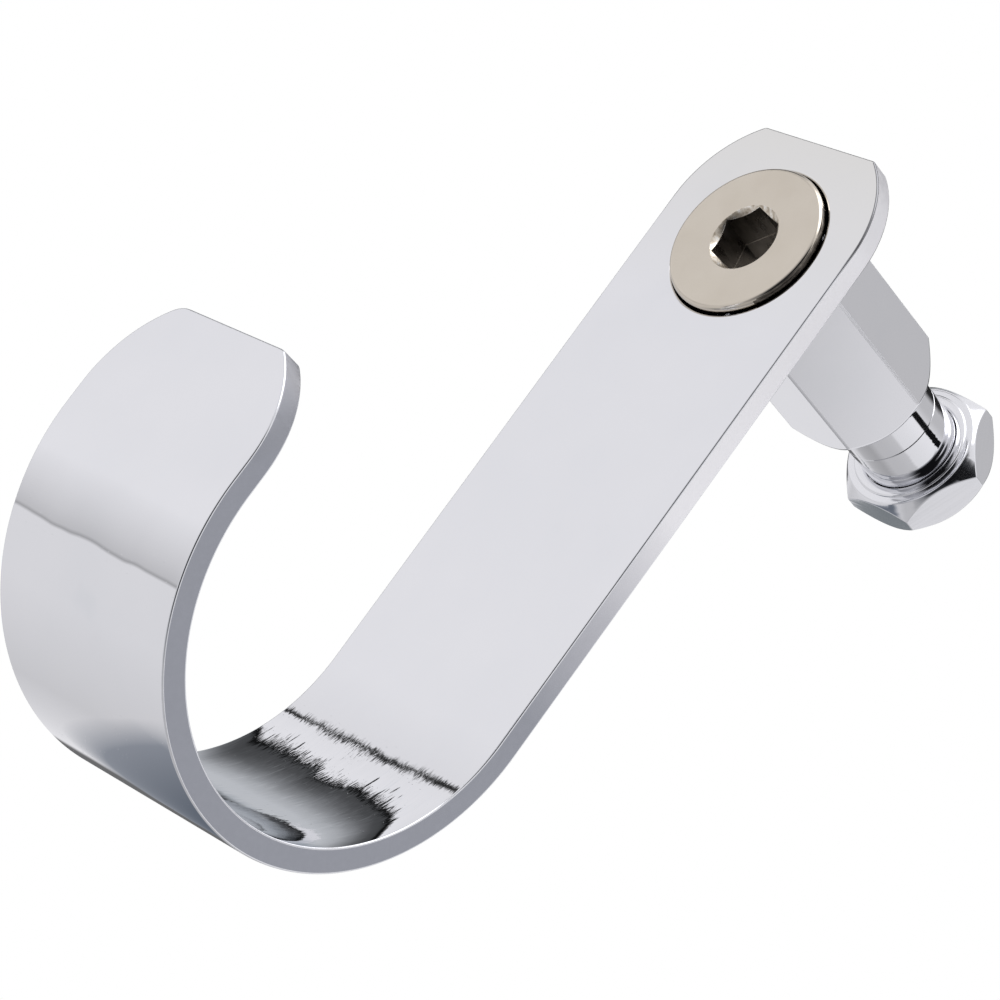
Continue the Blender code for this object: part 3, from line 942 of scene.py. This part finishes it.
def sheared_bar_edge():
    """The bar's cut edges: painted shade over fine grain, dull grey round the hook and fading brighter up
    towards the screw.
    """
    finish, tree, shader = new_finish("sheared_bar_edge")
    # Painted shade: the cut edges darken from bright near the screw down to dull grey round the hook
    rise = spread(tree, own_place(tree)["Z"], 0.0, 1.0, *PAINTED_EDGE_RISE)
    grain = patches(tree, (500.0, 1800.0, 1800.0), 3.0)
    grained = plus(tree, rise, spread(tree, grain, -0.008, 0.008))
    wire(tree, shades(tree, grained, PAINTED_EDGE_SHADES), shader.inputs["Base Color"])
    wire(tree, spread(tree, grain, 0.40, 0.46), shader.inputs["Roughness"])
    wire(tree, bumped(tree, grain, FINE_BUMP, 0.01), shader.inputs["Normal"])
    return finish


def polished_edge_round():
    """The small rounds along the bar's edges, which mirror the room's dark and bright sides as fine lines,
    and carry a painted dark reflection towards the top end.
    """
    finish, tree, shader = new_finish("polished_edge_round")
    grain = patches(tree, (900.0, 900.0, 900.0), 3.0)
    worn = ((0.3, (0.72, 0.73, 0.76)), (0.7, (0.80, 0.805, 0.83)))
    # Painted dark reflection on the rounds towards the top end
    rise = spread(tree, own_place(tree)["Z"], 0.0, 1.0, *PAINTED_DARK_ROUND_RISE)
    colour = mixed_in(tree, shades(tree, grain, worn), rise, PAINTED_DARK_ROUND)
    wire(tree, colour, shader.inputs["Base Color"])
    wire(tree, spread(tree, grain, 0.08, 0.16), shader.inputs["Roughness"])
    wire(tree, bumped(tree, grain, FINE_BUMP, 0.1), shader.inputs["Normal"])
    return finish


def mottle(tree, shader, noise, stops, roughness):
    """Lets one noise set both the colour, by (position, colour) stops, and the roughness."""
    wire(tree, shades(tree, noise, stops), shader.inputs["Base Color"])
    wire(tree, spread(tree, noise, *roughness), shader.inputs["Roughness"])


def satin_nickel():
    """Nickel plate over turning marks round the screw's axis."""
    finish, tree, shader = new_finish("satin_nickel")
    nickel = ((0.3, (0.615, 0.56, 0.48)), (0.7, (0.665, 0.61, 0.53)))
    mottle(tree, shader, patches(tree, (160.0, 160.0, 160.0), 4.0), nickel, (0.11, 0.18))
    radius = length_across(tree, lay(tree, "TexCoord").outputs["Object"], (1.0, 0.0, 1.0))
    rings = lay(tree, "TexNoise", noise_dimensions="1D", Scale=4200.0, Detail=2.0)
    wire(tree, radius, rings.inputs["W"])
    ringed = bumped(tree, rings.outputs["Fac"], FINE_BUMP, 0.06)
    grain = patches(tree, (5200.0, 5200.0, 5200.0), 2.0)
    wire(tree, bumped(tree, grain, FINE_BUMP, 0.14, ringed), shader.inputs["Normal"])
    return finish


def rubbed_metal(name, scale, detail, stops, roughness, bump):
    """Metal whose colour, roughness and bumps all follow one noise."""
    finish, tree, shader = new_finish(name)
    noise = patches(tree, scale, detail)
    mottle(tree, shader, noise, stops, roughness)
    wire(tree, bumped(tree, noise, COARSE_BUMP, bump), shader.inputs["Normal"])
    return finish


def broached_socket():
    """Inside of the key socket: thin plate over broaching marks, painted dark as the shade inside the socket.
    """
    # Painted shade: the socket's walls are darkened
    socket_shade = ((0.3, (0.10, 0.093, 0.088)), (0.7, (0.24, 0.225, 0.21)))
    return rubbed_metal("broached_socket", (900.0, 250.0, 900.0), 3.0, socket_shade, (0.22, 0.40), 0.3)


def worn_socket_mouth():
    """The chamfer round the socket, where the key has rubbed the plate."""
    worn = ((0.32, (0.36, 0.30, 0.23)), (0.5, (0.62, 0.56, 0.47)), (0.66, (0.86, 0.83, 0.78)))
    return rubbed_metal("worn_socket_mouth", (1500.0, 1500.0, 1500.0), 4.0, worn, (0.35, 0.20), 0.25)


def painted_shade_head_side():
    """Side of the screw's head towards +X, painted dark: a painted shade between the head and the bar."""
    # Painted shade on the head's side
    head_shade = ((0.3, (0.06, 0.052, 0.044)), (0.55, (0.16, 0.142, 0.12)), (0.75, (0.40, 0.36, 0.31)))
    return rubbed_metal("painted_shade_head_side", (700.0, 2000.0, 700.0), 4.0, head_shade, (0.22, 0.38), 0.2)


def drawn_chrome(name, roughness):
    """Chrome over bar that was drawn along the axis: faint lines along Y."""
    finish, tree, shader = new_finish(name)
    mottle(tree, shader, patches(tree, (140.0, 140.0, 140.0), 3.0), CHROME_SHADES, roughness)
    lines = patches(tree, (1500.0, 40.0, 1500.0), 2.0)
    wire(tree, bumped(tree, lines, FINE_BUMP, 0.04), shader.inputs["Normal"])
    return finish


def turned_chrome(name, roughness):
    """Chrome over turned faces, whose fine rings break up what the metal mirrors."""
    finish, tree, shader = new_finish(name)
    mottle(tree, shader, patches(tree, (180.0, 180.0, 180.0), 3.0), CHROME_SHADES, roughness)
    rings = spread(tree, patches(tree, (90.0, 2600.0, 90.0), 3.0), -0.022, 0.022)
    tipped = tip_normal(tree, own_normal(tree), (0.0, 1.0, 0.0), rings)
    wire(tree, to_world(tree, tipped), shader.inputs["Normal"])
    return finish


def bright_zinc():
    """Bright zinc plate, as on bought threaded rod."""
    finish, tree, shader = new_finish("bright_zinc")
    zinc = ((0.3, (0.53, 0.54, 0.565)), (0.7, (0.63, 0.635, 0.65)))
    mottle(tree, shader, patches(tree, (400.0, 400.0, 400.0), 3.0), zinc, (0.18, 0.32))
    grain = patches(tree, (2400.0, 2400.0, 2400.0), 2.0)
    wire(tree, bumped(tree, grain, FINE_BUMP, 0.2), shader.inputs["Normal"])
    return finish


def give_finish(piece, finish):
    piece.data.materials.clear()
    piece.data.materials.append(finish)


def give_second_finish(piece, finish, wanted):
    """Gives the faces for which wanted(middle, normal) is true another finish."""
    piece.data.materials.append(finish)
    select_only(piece)
    bpy.ops.object.mode_set(mode="EDIT")
    pick("FACE", wanted)
    piece.active_material_index = len(piece.data.materials) - 1
    bpy.ops.object.material_slot_assign()
    bpy.ops.object.mode_set(mode="OBJECT")


def stands_for(piece, node, body):
    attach(piece, body)
    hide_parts(node)


def beside_screw(middle):
    return from_axis(middle) < HEAD_RADIUS + SEAT_REACH


def at_bar_end(middle, normal):
    at_top = middle.z > TOP_END - BAR_EDGE_ROUND
    at_tip = middle.y < BEND_CENTRE_Y and abs(middle.z - BEND_CENTRE_Z - TIP_RISE) < BAR_EDGE_ROUND
    return (at_top or at_tip) and normal.z > SLANTED


def is_bar_edge(middle, normal):
    if beside_screw(middle):
        return False
    on_side = abs(normal.x) > SQUARE_ON
    on_round_end = abs(normal.x) > SLANTED and abs(normal.y) < LEVEL
    return on_side or on_round_end or at_bar_end(middle, normal)


def is_edge_round(middle, normal):
    if beside_screw(middle):
        return False
    if at_bar_end(middle, normal):
        return abs(normal.y) > LEVEL
    in_bend = middle.z < BEND_CENTRE_Z
    return LEVEL < abs(normal.x) < SQUARE_ON and (in_bend or abs(normal.y) > LEVEL)


def is_socket_wall(middle, normal):
    in_socket = from_axis(middle) < SOCKET_FLAT_RADIUS * SOCKET_WALL_REACH
    return in_socket and abs(normal.y) < WALL_TILT and middle.y < screw_low.y + SOCKET_DEPTH


def is_socket_mouth(middle, normal):
    in_mouth = from_axis(middle) < SOCKET_FLAT_RADIUS * SOCKET_MOUTH_REACH
    near_top = middle.y < screw_low.y + SOCKET_MOUTH_DEPTH
    return in_mouth and near_top and WALL_TILT < abs(normal.y) < FLAT_TILT


# Only the head's side towards +X takes the painted shade.
def is_head_side(middle, normal):
    on_side = from_axis(middle) > HEAD_RADIUS * HEAD_SIDE_REACH and abs(normal.y) < SIDE_TILT
    return on_side and middle.y < BAR_FRONT + SAME_PLACE and middle.x > PAINTED_SHADE_START


def is_spacer_edge(middle, normal):
    return from_axis(middle) > SPACER_FLAT_RADIUS * SPACER_EDGE_REACH and abs(normal.y) < LEVEL


def make_pieces():
    bar = make_hook_bar()
    give_finish(bar, polished_bar_chrome())
    give_second_finish(bar, sheared_bar_edge(), is_bar_edge)
    give_second_finish(bar, polished_edge_round(), is_edge_round)
    stands_for(bar, "hook_strap", "hook")

    screw = make_clamp_screw()
    give_finish(screw, satin_nickel())
    give_second_finish(screw, painted_shade_head_side(), is_head_side)
    give_second_finish(screw, broached_socket(), is_socket_wall)
    give_second_finish(screw, worn_socket_mouth(), is_socket_mouth)
    stands_for(screw, "clamp_screw", "screw")

    spacer = make_hex_spacer()
    give_finish(spacer, drawn_chrome("drawn_spacer_chrome", roughness=(0.05, 0.09)))
    give_second_finish(spacer, drawn_chrome("softened_spacer_edge", roughness=(0.40, 0.48)), is_spacer_edge)
    stands_for(spacer, "hex_spacer", "spacer")

    sleeve = make_neck_sleeve()
    give_finish(sleeve, turned_chrome("turned_sleeve_chrome", roughness=(0.03, 0.07)))
    stands_for(sleeve, "spacer_sleeve", "sleeve")

    stud = make_threaded_stud()
    give_finish(stud, bright_zinc())
    stands_for(stud, "threaded_stud", "spacer")

    nut = make_lock_nut()
    give_finish(nut, turned_chrome("turned_nut_chrome", roughness=(0.09, 0.14)))
    stands_for(nut, "lock_nut", "nut")


def wall_light(tree, turn, stops, cool_part=(0, 0)):
    """Light of one wall by the turn round the X axis, with a cooler tint between two angles."""
    placed = []
    for degrees, light in stops:
        tint = COOL_TINT if cool_part[0] < degrees < cool_part[1] else WALL_TINT
        colour = tuple(light * share for share in tint)
        placed.append(((degrees + 180) / 360, colour))
    return shades(tree, turn, placed)


def mixed_light(tree, share, first, second):
    node = lay(tree, "MixRGB")
    wire(tree, share, node.inputs["Fac"])
    wire(tree, first, node.inputs["Color1"])
    wire(tree, second, node.inputs["Color2"])
    return node.outputs["Color"]


def patch_of_light(tree, walls, where, way, edge, light):
    """Round patch of other light on the walls, in one direction."""
    towards = lay(tree, "VectorMath", operation="DOT_PRODUCT")
    towards.inputs[1].default_value = way
    wire(tree, where, towards.inputs[0])
    return mixed_in(tree, walls, spread(tree, towards.outputs["Value"], 0.0, 1.0, *edge), light)


def make_studio():
    """White studio whose walls run along the X axis, with a plain white backdrop for the camera."""
    world = bpy.data.worlds.new("white_studio")
    bpy.context.scene.world = world
    world.use_nodes = True
    tree = world.node_tree
    tree.nodes.clear()
    where = lay(tree, "TexCoord").outputs["Generated"]
    parts = lay(tree, "SeparateXYZ")
    wire(tree, where, parts.inputs["Vector"])
    angle = calculate(tree, "ARCTAN2", parts.outputs["Z"], parts.outputs["Y"])
    turn = spread(tree, angle, 0.0, 1.0, -math.pi, math.pi)
    to_middle = spread(tree, parts.outputs["X"], 0.0, 1.0, *LEFT_TO_MIDDLE)
    to_right = spread(tree, parts.outputs["X"], 0.0, 1.0, *MIDDLE_TO_RIGHT)
    left = wall_light(tree, turn, LEFT_WALL, COOL_PART)
    walls = mixed_light(tree, to_middle, left, wall_light(tree, turn, MIDDLE_WALL))
    walls = mixed_light(tree, to_right, walls, wall_light(tree, turn, RIGHT_WALL))
    walls = patch_of_light(tree, walls, where, SOFT_BOX_WAY, SOFT_BOX_EDGE, SOFT_BOX_LIGHT)
    walls = patch_of_light(tree, walls, where, DIM_ROOM_WAY, DIM_ROOM_EDGE, DIM_ROOM_LIGHT)
    walls = patch_of_light(tree, walls, where, CORNER_WAY, CORNER_EDGE, DOORWAY_LIGHT)
    walls = patch_of_light(tree, walls, where, DOORWAY_WAY, DOORWAY_EDGE, DOORWAY_LIGHT)
    rays = lay(tree, "LightPath")
    shown = mixed_in(tree, walls, rays.outputs["Is Camera Ray"], BACKDROP)
    light = lay(tree, "Background", Strength=1.0)
    wire(tree, shown, light.inputs["Color"])
    output = lay(tree, "OutputWorld")
    wire(tree, light.outputs["Background"], output.inputs["Surface"])


def make_dark_card(name, size, place, turn, soft, shade):
    """Dark card with soft edges that only the metal sees."""
    deselect_everything()
    rotation = tuple(math.radians(part) for part in turn)
    bpy.ops.mesh.primitive_plane_add(size=1.0, location=place, rotation=rotation)
    card = bpy.context.object
    card.name = name
    card.scale = (size[0], size[1], 1.0)
    finish = bpy.data.materials.new(name)
    finish.use_nodes = True
    tree = finish.node_tree
    tree.nodes.clear()
    where = lay(tree, "TexCoord")
    parts = lay(tree, "SeparateXYZ")
    wire(tree, where.outputs["UV"], parts.inputs["Vector"])
    shares = []
    for axis, edge in zip(("X", "Y"), soft):
        aside = calculate(tree, "SUBTRACT", parts.outputs[axis], CARD_MIDDLE)
        from_middle = calculate(tree, "ABSOLUTE", aside)
        shares.append(spread(tree, from_middle, 1.0, 0.0, CARD_MIDDLE - edge, CARD_MIDDLE))
    clear = lay(tree, "BsdfTransparent")
    dark = lay(tree, "Emission", Color=shade, Strength=1.0)
    mixed = lay(tree, "MixShader")
    wire(tree, times(tree, *shares), mixed.inputs["Fac"])
    wire(tree, clear.outputs["BSDF"], mixed.inputs[1])
    wire(tree, dark.outputs["Emission"], mixed.inputs[2])
    output = lay(tree, "OutputMaterial")
    wire(tree, mixed.outputs["Shader"], output.inputs["Surface"])
    card.data.materials.append(finish)
    card.visible_camera = False
    card.visible_diffuse = False
    card.visible_shadow = False


def make_floor():
    """Pale floor far below, which no metal mirrors."""
    deselect_everything()
    bpy.ops.mesh.primitive_plane_add(size=FLOOR_SIZE, location=(0.0, 0.0, FLOOR_HEIGHT))
    floor = bpy.context.object
    floor.name = "studio_floor"
    pale = bpy.data.materials.new("pale_floor")
    pale.use_nodes = True
    shader = pale.node_tree.nodes["Principled BSDF"]
    shader.inputs["Base Color"].default_value = FLOOR_PAINT
    shader.inputs["Roughness"].default_value = FLOOR_ROUGHNESS
    floor.data.materials.append(pale)
    floor.visible_glossy = False


def make_camera():
    lens = bpy.data.cameras.new("photo_camera")
    lens.lens = CAMERA_LENS
    lens.sensor_width = CAMERA_SENSOR
    lens.clip_start = CAMERA_NEAREST
    camera = bpy.data.objects.new("photo_camera", lens)
    bpy.context.scene.collection.objects.link(camera)
    camera.location = CAMERA_PLACE
    camera.rotation_euler = tuple(math.radians(turn) for turn in CAMERA_TURN)
    bpy.context.scene.camera = camera


make_pieces()
make_studio()
for dark_card in DARK_CARDS:
    make_dark_card(*dark_card)
make_floor()
make_camera()
bpy.context.scene.view_settings.view_transform = "Standard"
